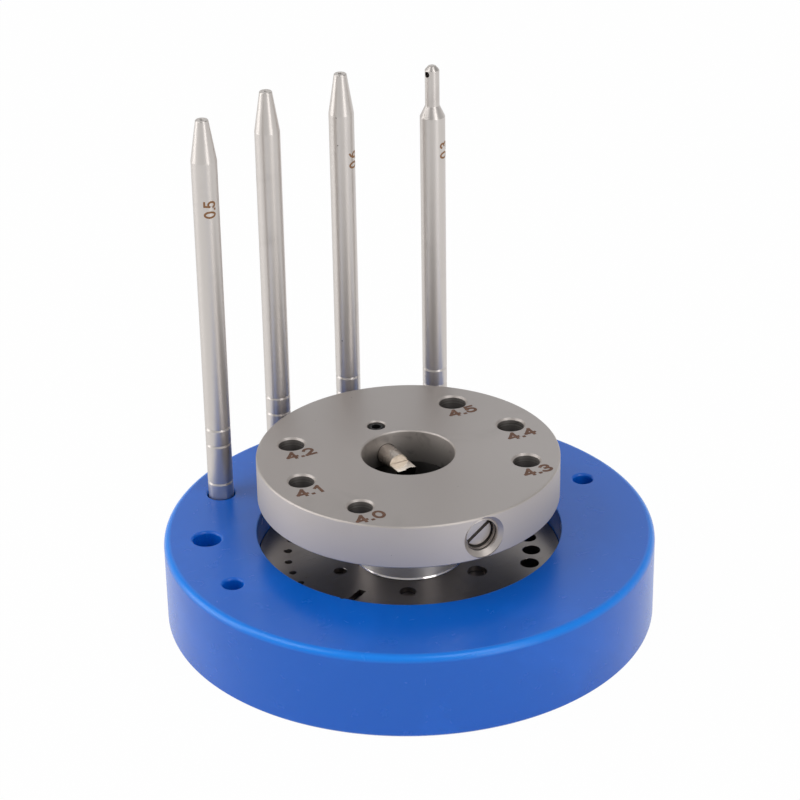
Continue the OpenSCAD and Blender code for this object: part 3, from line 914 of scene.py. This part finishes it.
def make_die_plate():
    radius, bottom, boss = PLATE_HIGH.x, PLATE_LOW.z, BORE_D / 2 - FIT
    solid = lathe("steel_plate", [
        (0, bottom), (radius, bottom, PLATE_EDGE), (radius, PLATE_TOP, PLATE_EDGE),
        (boss, PLATE_TOP, 0.05), (boss, PLATE_HIGH.z, 0.1), (0, PLATE_HIGH.z)], AROUND_LARGE)
    index = block("index", (INDEX_START_R, -INDEX_W / 2, PLATE_TOP - INDEX_DEPTH),
                  (radius + CUT_PAST, INDEX_W / 2, PLATE_TOP + CUT_PAST))
    dimple_floor = PLATE_TOP - DIMPLE_DEPTH
    thread = SCREW_D / 2 + SCREW_PLAY
    tools = ((broken_edge_cutter("dies", (0, bottom - CUT_PAST), (0.5, bottom - CUT_PAST)), DIE_RING),
             (broken_edge_cutter("dimples", (0, dimple_floor - DIMPLE_POINT), (0.5, dimple_floor)),
              DIMPLE_RING),
             (cutter("plate_screw_bores", (thread, bottom - CUT_PAST),
                     (thread, bottom + SCREW_HOLE_DEPTH)), SCREW_RING))
    cut(solid, *[ring_of(tool, "plate_steel", ring) for tool, ring in tools], turned(index, INDEX_ANGLE))
    finish_piece(solid, "base", "plate_steel", "die_plate")


# Hub tube

def make_hub():
    radius, inner, spigot = HUB_HIGH.x, BORE_D / 2, SPIGOT_D / 2
    foot, shoulder, top = HUB_LOW.z, HUB_HIGH.z - SPIGOT_H, HUB_HIGH.z
    solid = lathe("steel_hub", [
        (inner, foot), (radius, foot, 0.03), (radius - HUB_FOOT_OUT, foot + HUB_FOOT_H, 0.05),
        (radius - HUB_FOOT_OUT, shoulder, 0.08), (spigot, shoulder), (spigot, top, 0.1),
        (inner, top, 0.02)], AROUND_LARGE)
    finish_piece(solid, "hub", "tube_steel", "hub_tube")


# Clamp disc

def guide_cutters():
    """A cutter at each guide hole that the record names, with a bevel at both faces."""
    low, high, bevel = DISC_LOW.z, DISC_HIGH.z, GUIDE_CHAMFER
    return [moved(cutter("guide", (radius + bevel, low - CUT_PAST), (radius + bevel, low),
                         (radius, low + bevel), (radius, high - bevel), (radius + bevel, high),
                         (radius + bevel, high + CUT_PAST)), x, y)
            for x, y, radius in GUIDES]


def clamp_cutter():
    """Bevelled, stepped bore from the rim to the middle, on the clamp axis."""
    rim, mouth, thread, jaw = DISC_HIGH.x, RIM_BEVEL_D / 2, RIM_THREAD_R, JAW_D / 2 + FIT
    sag = rim - sqrt(rim ** 2 - mouth ** 2)
    thread_end = SCREW_HIGH.y + CLAMP_BORE_PAST + rim
    bore = cutter("clamp_bore", (mouth, -CUT_PAST), (mouth, sag), (thread, sag + mouth - thread),
                  (thread, thread_end), (jaw, thread_end), (jaw, rim), around=AROUND_SMALL)
    return laid_along_y(bore, -rim)


def threaded(core, material, radius, pitch, tooth, start, end, **more):
    """Winds a thread round a core that was made along Z."""
    return run_tree(core, thread_turns, Material=MATERIALS[material], Radius=radius, Pitch=pitch,
                    Tooth=tooth, Start_Height=start, Turns=(end - start) / pitch, **more)


def female_thread():
    """The thread that shows between the rim's bevel and the clamp screw."""
    rim = -DISC_HIGH.x
    coil = threaded(new_piece("rim_thread", bmesh.new()), "disc_steel", RIM_THREAD_R, CLAMP_PITCH,
                    RIM_THREAD_TOOTH, RIM_THREAD_START, SCREW_HIGH.y + RIM_THREAD_PAST - rim,
                    Facing=180, Start_Angle=RIM_THREAD_ANGLE)
    return laid_along_y(coil, rim)


def make_disc():
    radius, low, high, c = DISC_HIGH.x, DISC_LOW.z, DISC_HIGH.z, DISC_CHAMFER
    pocket, roof = SPIGOT_D / 2 + FIT, low + SPIGOT_H + SPIGOT_TOP_GAP
    solid = lathe("steel_disc", [
        (BORE_D / 2, roof), (pocket, roof), (pocket, low, 0.1), (radius - c, low, 0.05),
        (radius, low + c, 0.1), (radius, high - c, 0.1), (radius - c, high, 0.05),
        (BORE_D / 2 + c, high, 0.05), (BORE_D / 2, high - c, 0.1)], AROUND_LARGE)
    jaw, screw, key = JAW_D / 2 + FIT, SET_D / 2 + FIT, KEY_D / 2
    rear = cutter("rear_bore", (jaw, 0), (jaw, REAR_BORE_END_Y), around=AROUND_SMALL)
    seat = cutter("set_bore", (screw, AXIS_Z), (screw, high - c), (screw + c, high),
                  (screw + c, high + CUT_PAST))
    key_bore = cutter("key_bore", (key, low - CUT_PAST), (key, AXIS_Z - KEY_TOP_DROP), around=32)
    cut(solid, *guide_cutters(), clamp_cutter(), laid_along_y(rear, 0), moved(seat, y=SET_Y),
        moved(key_bore, y=KEY_Y))
    joined(solid, female_thread())
    finish_piece(solid, "disc", "disc_steel", "clamp_disc")


# Jaws

def jaw_rod(name, length):
    """Rod with its half-round, notched blade; the tip is at y = 0 and points along -Y."""
    radius = JAW_D / 2
    rod = lathe(name, [(0, 0), (radius, 0, 0.06), (radius, length, 0.15), (0, length)])
    turned(rod, -90, "X")
    top = block("blade_top", (-JAW_D, -CUT_PAST, BLADE_RISE), (JAW_D, BLADE_L, JAW_D))
    relief = block("relief", (-JAW_D, BLADE_L - BLADE_UNDERCUT, BLADE_RISE - BLADE_UNDERCUT),
                   (JAW_D, BLADE_L, BLADE_RISE + BLADE_UNDERCUT))
    notch = prism("notch", NOTCH, -JAW_D, JAW_D)
    return cut(rod, top, relief, notch)


def make_rear_jaw():
    low, high = millimetres("rear_jaw")
    rod = moved(jaw_rod("back_jaw", high.y - low.y), 0, low.y, AXIS_Z)
    flat = block("flat", (-JAW_D, FLAT_START_Y, high.z - FLAT_DEPTH),
                 (JAW_D, FLAT_START_Y + FLAT_LENGTH, high.z + CUT_PAST))
    finish_piece(cut(rod, flat), "rear_jaw", "jaw_steel", "rear_jaw")


def make_front_jaw():
    low, high = millimetres("front_jaw")
    rod = jaw_rod("moving_jaw", high.y - low.y - TAIL_L)
    rod.data.transform(Matrix.Scale(-1, 4, (0, 1, 0)))
    rod.data.flip_normals()
    moved(rod, 0, high.y, AXIS_Z)
    slot = block("key_slot", (-KEY_SLOT_W / 2, KEY_SLOT_Y[0], AXIS_Z - JAW_D),
                 (KEY_SLOT_W / 2, KEY_SLOT_Y[1], AXIS_Z - JAW_D / 2 + KEY_SLOT_TOP))
    cut(rod, slot)
    tail_end = TAIL_L + TAIL_OVERLAP
    tail = lathe("tail", [(0, 0), (TAIL_D / 2, 0, 0.1), (TAIL_D / 2, tail_end), (0, tail_end)])
    joined(rod, laid_along_y(tail, low.y))
    finish_piece(rod, "front_jaw", "jaw_steel", "front_jaw")


# Screws

def make_clamp_screw():
    length, core, collar = SCREW_HIGH.y - SCREW_LOW.y, CLAMP_CORE_R, CLAMP_COLLAR_R
    edge, neck = CLAMP_EDGE, CLAMP_COLLAR_L + CLAMP_NECK_L
    solid = lathe("slotted_screw", [
        (0, 0), (collar - edge, 0, 0.06), (collar, edge, 0.06), (collar, CLAMP_COLLAR_L, 0.06),
        (core, neck), (core, length - edge, 0.06), (core - edge, length, 0.06), (0, length)])
    slot = block("slot", (-JAW_D, -SLOT_W / 2, -CUT_PAST), (JAW_D, SLOT_W / 2, SLOT_DEPTH))
    socket = TAIL_D / 2 + FIT
    cut(solid, turned(slot, -SLOT_ANGLE),
        cutter("tail_socket", (socket, length - TAIL_SOCKET_L), (socket, length + CUT_PAST), around=48))
    threaded(solid, "screw_steel", core, CLAMP_PITCH, CLAMP_TOOTH, CLAMP_COLLAR_L + CLAMP_THREAD_GAP,
             length - CLAMP_THREAD_END)
    laid_along_y(solid, SCREW_LOW.y)
    finish_piece(solid, "clamp_screw", "screw_steel", "clamp_screw")


def make_set_screw():
    low, high = (corner.z for corner in millimetres("set_screw"))
    core, edge, rim = SET_CORE_R, SET_EDGE, high - SET_TOP_GAP
    solid = lathe("socket_screw", [
        (0, low), (core - edge, low, 0.05), (core, low + edge, 0.05), (core, rim, 0.05),
        (core - edge, high, 0.05), (0, high)])
    six = [at_angle(SET_SOCKET / sqrt(3), 60 * i) for i in range(6)]
    cut(solid, prism("hex", six, high - SET_SOCKET_DEPTH, high + CUT_PAST))
    threaded(solid, "black_steel", core, SET_PITCH, SET_TOOTH, low + SET_THREAD_GAP, rim)
    finish_piece(moved(solid, y=SET_Y), "set_screw", "black_steel", "set_screw")


# Punches

def shank(number):
    """Corners of a punch's foot and of the ring marks on its shank."""
    radius = PUNCH_D / 2
    corners = [(0, 0), (radius - PUNCH_FOOT_CHAMFER, 0, 0.05), (radius, PUNCH_FOOT_CHAMFER, 0.1)]
    for step in MARK_STEPS:
        middle = MARK_HEIGHTS[number - 1] - step
        corners += [(radius, middle - MARK_W / 2, 0.03), (radius - MARK_DEPTH, middle + MARK_W / 4, 0.02),
                    (radius - MARK_DEPTH, middle + MARK_W / 3, 0.02), (radius, middle + MARK_W / 2, 0.02)]
    return corners


def tapered_punch(number, length):
    """Punch with a long taper and a small countersunk hole in its end."""
    tip = TAPER_TIP_D / 2
    bore = TIP_BORES[number - 1] / 2
    corners = shank(number) + [
        (PUNCH_D / 2, length - TAPER_L, 0.6), (tip, length - TIP_EDGE, 0.04),
        (tip - TIP_EDGE, length, 0.04), (bore + TIP_SINK_DEPTH, length, 0.03),
        (bore, length - TIP_SINK_DEPTH, 0.03), (bore, length - TIP_HOLE_DEPTH),
        (0, length - TIP_HOLE_DEPTH - bore)]
    return lathe(f"tapered_punch_{number}", corners)


def nib_punch(number, length):
    """Punch with a slim nib, a rounded nose and a cross hole."""
    nib, nose = NIB_D / 2, NIB_NOSE_D / 2
    corners = shank(number) + [
        (PUNCH_D / 2, length - NIB_L - NIB_CONE_L, 0.15), (nib, length - NIB_L, 0.15),
        (nib, length - NIB_NOSE_L, 0.25), (nose, length, 0.3), (0, length)]
    solid = lathe(f"nib_punch_{number}", corners)
    past, radius = NIB_HOLE_PAST_AXIS, NIB_HOLE_D / 2
    hole = cutter("cross_hole", (radius, -past), (radius, NIB_D - past), around=32)
    turned(turned(hole, 90, "Y"), NIB_HOLE_ANGLE)
    return cut(solid, moved(hole, z=length - NIB_HOLE_DROP))


def punch_place(number):
    """Foot of a punch's axis, and its length."""
    low, high = millimetres(f"punch_{number}")
    return ((low.x + high.x) / 2, (low.y + high.y) / 2, low.z), high.z - low.z


def make_punch(number):
    place, length = punch_place(number)
    make = nib_punch if number == 4 else tapered_punch
    node = f"punch_{number}"
    finish_piece(moved(make(number, length), *place), node, "punch_steel", node)


# Size marks

def bow(x, y, across, up, start, end, steps=14):
    """Points of an arc of an ellipse, from one angle to another in degrees."""
    turns = [radians(start + (end - start) * i / steps) for i in range(steps + 1)]
    return [(x + across * cos(t), y + up * sin(t)) for t in turns]


def digit_strokes(digit):
    """Centre lines of a digit in a cell one high and DIGIT_W wide."""
    return {
        "0": [bow(0.4, 0.5, 0.4, 0.5, 0, 345, 24) + [(0.8, 0.5)]],
        "1": [[(0.12, 0.76), (0.42, 1)], [(0.42, 1), (0.42, 0)]],
        "2": [bow(0.4, 0.69, 0.37, 0.31, 160, -35) + [(0.02, 0)], [(0.02, 0), (0.8, 0)]],
        "3": [bow(0.38, 0.75, 0.33, 0.25, 150, -90), bow(0.38, 0.25, 0.4, 0.25, 90, -150)],
        "4": [[(0.62, 0), (0.62, 1)], [(0.62, 1), (0, 0.29)], [(0, 0.29), (0.8, 0.29)]],
        "5": [[(0.74, 1), (0.16, 1)], [(0.16, 1), (0.09, 0.53)],
              bow(0.37, 0.32, 0.41, 0.32, 135, -150)],
        "6": [[(0.66, 1), (0.3, 0.84), (0.08, 0.58), (0.01, 0.34)],
              bow(0.4, 0.31, 0.4, 0.31, 0, 345, 20) + [(0.8, 0.31)]]}[digit]


def add_bar(shape, points, width, layer):
    """Adds a flat bar, square at its ends, that follows the points."""
    path = [Vector(point) for point in points]
    closed = (path[0] - path[-1]).length < 1e-6
    if closed:
        path.pop()
    count, rings = len(path), []
    thickness = MARK_THICKNESS + layer * MARK_LAYER
    ways = [(path[(i + 1) % count] - here).normalized() for i, here in enumerate(path)]
    if not closed:
        ways[-1] = ways[-2]
    for i, here in enumerate(path):
        before, after = ways[i - 1 if i or closed else 0], ways[i]
        across = Vector((-(before + after).y, (before + after).x)).normalized()
        reach = across * width / 2 / max(MITRE_LIMIT, across.dot(Vector((-before.y, before.x))))
        if not closed and i in (0, count - 1):
            here = here + before * width / 2 * (1 if i else -1)
        rings.append([shape.verts.new((*(here + side), height))
                      for side, height in ((reach, 0), (-reach, 0), (-reach, thickness),
                                           (reach, thickness))])
    for first, second in zip(rings, rings[1:] + rings[:1] * closed):
        for i in range(4):
            shape.faces.new((first[i], first[i - 1], second[i - 1], second[i]))
    if not closed:
        shape.faces.new(rings[0])
        shape.faces.new(rings[-1])


def number_mark(name, text, height, width, pitch, stroke):
    """Flat number from its first digit's lower left corner: a digit, a point and a digit. Each
    stroke is a little thicker than the one before, so that none lies level with another."""
    shape = bmesh.new()
    for start, digit in ((0.0, text[0]), (pitch, text[2])):
        for layer, points in enumerate(digit_strokes(digit)):
            add_bar(shape, [(start + x * width, y * height) for x, y in points], stroke, layer)
    dot = (DIGIT_W * width + pitch) / 2 + 0.1 * stroke
    add_bar(shape, [(dot - 0.05 * stroke, 0), (dot + 0.05 * stroke, 0)], stroke, 0)
    return new_piece(name, shape)


def make_disc_labels():
    """The size of each guide hole beside it, as one piece."""
    labels = []
    for x, y, radius in GUIDES:
        text = f"{2 * radius:.1f}"
        labels.append(moved(number_mark("size_" + text, text, **DISC_MARK), x + DISC_MARK_SHIFT[0],
                            y + DISC_MARK_SHIFT[1], DISC_HIGH.z + MARK_PROUD - MARK_THICKNESS))
    joined(*labels)
    labels[0].name = "guide_sizes"
    finish_piece(labels[0], "disc", "disc_steel", material="etched_brown")


def wrap_on_punch(label, half_length, half_height, angle):
    """Bends a flat label round a punch's shank, reading upward, facing an angle."""
    shape = bmesh.new()
    shape.from_mesh(label.data)
    count = int(2 * half_height / LABEL_STRIP)
    for i in range(1, count):
        everything = shape.verts[:] + shape.edges[:] + shape.faces[:]
        bmesh.ops.bisect_plane(shape, geom=everything, plane_no=(0, 1, 0),
                               plane_co=(0, 2 * half_height * i / count, 0))
    for vertex in shape.verts:
        along, up, out = vertex.co
        radius = PUNCH_D / 2 + MARK_PROUD - MARK_THICKNESS + out
        turn = radians(angle) - (up - half_height) / (PUNCH_D / 2)
        vertex.co = (radius * cos(turn), radius * sin(turn), along - half_length)
    bmesh.ops.recalc_face_normals(shape, faces=shape.faces)
    shape.to_mesh(label.data)
    shape.free()
    return label


def make_punch_label(number, text, height, angle):
    (x, y, _), _ = punch_place(number)
    flat = number_mark(f"punch_size_{number}", text, **PUNCH_MARK)
    half_length = (PUNCH_MARK["pitch"] + DIGIT_W * PUNCH_MARK["width"]) / 2
    label = wrap_on_punch(flat, half_length, PUNCH_MARK["height"] / 2, angle)
    finish_piece(moved(label, x, y, height), f"punch_{number}", "punch_steel", material="etched_tan")


# Studio

def spot_at(turn, rise, distance):
    """Point round the object: turn goes from -Y toward +X, rise above the horizon, in degrees."""
    a, e = radians(turn), radians(rise)
    return Vector((sin(a) * cos(e), -cos(a) * cos(e), sin(e))) * distance


def make_camera():
    lens = bpy.data.cameras.new("camera")
    lens.lens = LENS
    lens.sensor_width = SENSOR
    lens.clip_start = 0.01
    camera = linked("camera", lens)
    lift = Vector((0, 0, VIEW_LIFT * MM))
    place = spot_at(VIEW_TURN, VIEW_RISE, VIEW_DISTANCE * MM) + lift
    side = Vector((*at_angle(1, VIEW_TURN), 0))
    aim = lift + Vector((0, 0, VIEW_AIM_UP * MM)) - side * VIEW_AIM_LEFT * MM
    ahead = (aim - place).normalized()
    right = ahead.cross(Vector((0, 0, 1))).normalized()
    pose = Matrix((right, right.cross(ahead), -ahead)).transposed()
    pose = pose @ Matrix.Rotation(radians(VIEW_ROLL), 3, "Z")
    camera.matrix_world = Matrix.Translation(place) @ pose.to_4x4()
    bpy.context.scene.camera = camera


def softbox(name, turn, rise, distance, width, height, glow):
    """Soft lamp that faces the object; glow is how bright its face is, where 1 is white."""
    lamp = bpy.data.lights.new(name, "AREA")
    lamp.shape = "RECTANGLE"
    lamp.size, lamp.size_y = width, height
    lamp.energy = glow * pi * width * height
    holder = linked(name, lamp)
    holder.location = spot_at(turn + VIEW_TURN, rise, distance)
    outward = holder.location - Vector((0, 0, LAMP_AIM_UP))
    holder.rotation_euler = outward.to_track_quat("Z", "Y").to_euler()


def make_floor():
    """Pale floor that shows white to the camera and in reflections, and keeps a faint shadow."""
    floor = block("floor", (-FLOOR_HALF, -FLOOR_HALF, -FLOOR_THICKNESS), (FLOOR_HALF, FLOOR_HALF, 0))
    material = bpy.data.materials.new("pale_floor")
    material.use_nodes = True
    tree = material.node_tree
    tree.nodes.clear()
    ray = wires(add(tree, "LightPath"))
    seen = ray["Is Camera Ray"].most(ray["Is Glossy Ray"]).most(ray["Is Transmission Ray"])
    spot = wires(add(tree, "TexCoord"))["Object"]
    paper = effect(spot, fine_grain, Size=1.5)["Height"].mix((0.80, 0.80, 0.80), (0.83, 0.83, 0.83))
    matt = paper.to("BsdfDiffuse", paper)
    white = seen.to("Emission", Strength=1.0)
    add(tree, "OutputMaterial", seen.to("MixShader", seen * 0.985, matt, white))
    floor.data.materials.append(material)


def make_world():
    """White to the camera; a soft room to all else, with the white backdrop low in reflections."""
    world = bpy.data.worlds.new("studio")
    bpy.context.scene.world = world
    world.use_nodes = True
    tree = world.node_tree
    tree.nodes.clear()
    up = wires(add(tree, "TexCoord"))["Generated"].parts()[2]
    ray = wires(add(tree, "LightPath"))
    mirrored = ray["Is Glossy Ray"].most(ray["Is Transmission Ray"])
    level = up.span(0.55, 0.33).most(mirrored * up.ramp(0.1, 0.45, 1.0, 0.5))
    room, white = (up.to("Background", Strength=strength) for strength in (level, 1.0))
    add(tree, "OutputWorld",
        up.to("MixShader", ray["Is Camera Ray"], room, white))


for make in (make_camera, make_base, make_die_plate, make_hub, make_disc, make_rear_jaw, make_front_jaw,
             make_clamp_screw, make_set_screw):
    make()
for punch in (1, 2, 3, 4):
    make_punch(punch)
make_disc_labels()
for punch, label in PUNCH_LABELS.items():
    make_punch_label(punch, *label)
for hidden in ("plate_screws", "jaw_key"):
    shown = frame["nodes"][hidden].data.materials
    shown.clear()
    shown.append(MATERIALS["screw_steel"])
make_floor()
make_world()
for lamp_name, lamp_place in LAMPS.items():
    softbox(lamp_name, *lamp_place)
bpy.context.scene.view_settings.view_transform = "Standard"
